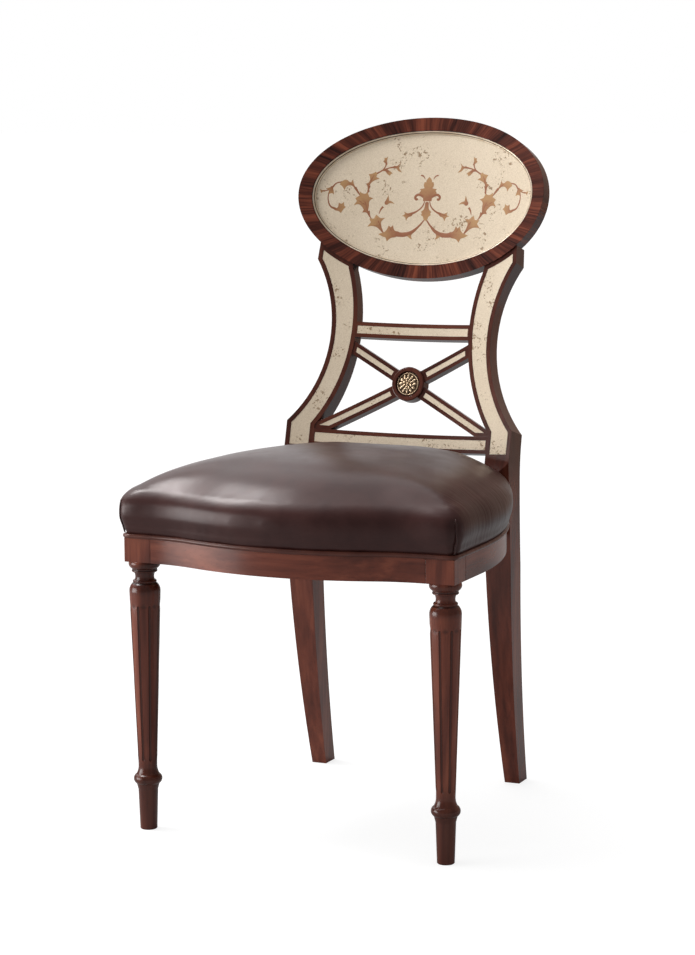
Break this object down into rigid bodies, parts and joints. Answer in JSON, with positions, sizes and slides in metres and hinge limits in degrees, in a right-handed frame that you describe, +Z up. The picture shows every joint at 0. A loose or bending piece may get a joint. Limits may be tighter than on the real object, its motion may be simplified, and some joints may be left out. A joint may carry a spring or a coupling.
{
  "type": "dining chair",
  "caption": "Dining side chair with turned fluted front legs, sabre back posts, an oval mirror-glass back over a cross lattice, and a bow-fronted padded leather seat.",
  "frame": {"origin": "middle of the chair's box, on the floor", "axes": "+Z up, the chair faces -Y, +X is to the right of someone who looks at its front"},
  "size_m": [0.5164, 0.6117, 1.0007],
  "materials": {
    "mahogany": "polished lacquer",
    "rosewood": "polished crossbanded veneer",
    "antique_mirror": "silvered and foxed glass",
    "gilt": "pale gilding",
    "antique_brass": "antiqued, satin",
    "leather": "semi-gloss",
    "foam": "open cell",
    "plywood": "plain",
    "dust_cloth": "plain woven",
    "beech": "plain",
    "screw_steel": "zinc plated"
  },
  "bodies": {
    "root": {"front_leg_left": "mahogany", "front_leg_right": "mahogany", "back_post_left": "mahogany", "back_post_right": "mahogany", "front_rail": "mahogany", "side_rail_left": "mahogany", "side_rail_right": "mahogany", "back_rail": "mahogany", "upper_cross_rail": "mahogany", "lower_cross_rail": "mahogany", "cross_arm_upper_left": "mahogany", "cross_arm_upper_right": "mahogany", "cross_arm_lower_left": "mahogany", "cross_arm_lower_right": "mahogany", "roundel": "mahogany", "oval_frame": "rosewood", "oval_mirror": "antique_mirror", "stile_mirror_left": "antique_mirror", "stile_mirror_right": "antique_mirror", "upper_rail_mirror": "antique_mirror", "lower_rail_mirror": "antique_mirror", "arm_mirror_upper_left": "antique_mirror", "arm_mirror_upper_right": "antique_mirror", "arm_mirror_lower_left": "antique_mirror", "arm_mirror_lower_right": "antique_mirror", "oval_bead": "gilt", "rosette": "antique_brass", "leather_cover": "leather", "welt": "leather", "seat_foam": "foam", "seat_board": "plywood", "oval_backing": "plywood", "dust_cover": "dust_cloth", "corner_block_front_left": "beech", "corner_block_front_right": "beech", "corner_block_rear_left": "beech", "corner_block_rear_right": "beech", "cross_dowels": "beech", "oval_dowels": "beech", "corner_block_screws": "screw_steel", "seat_screws": "screw_steel"}
  },
  "joints": []
}
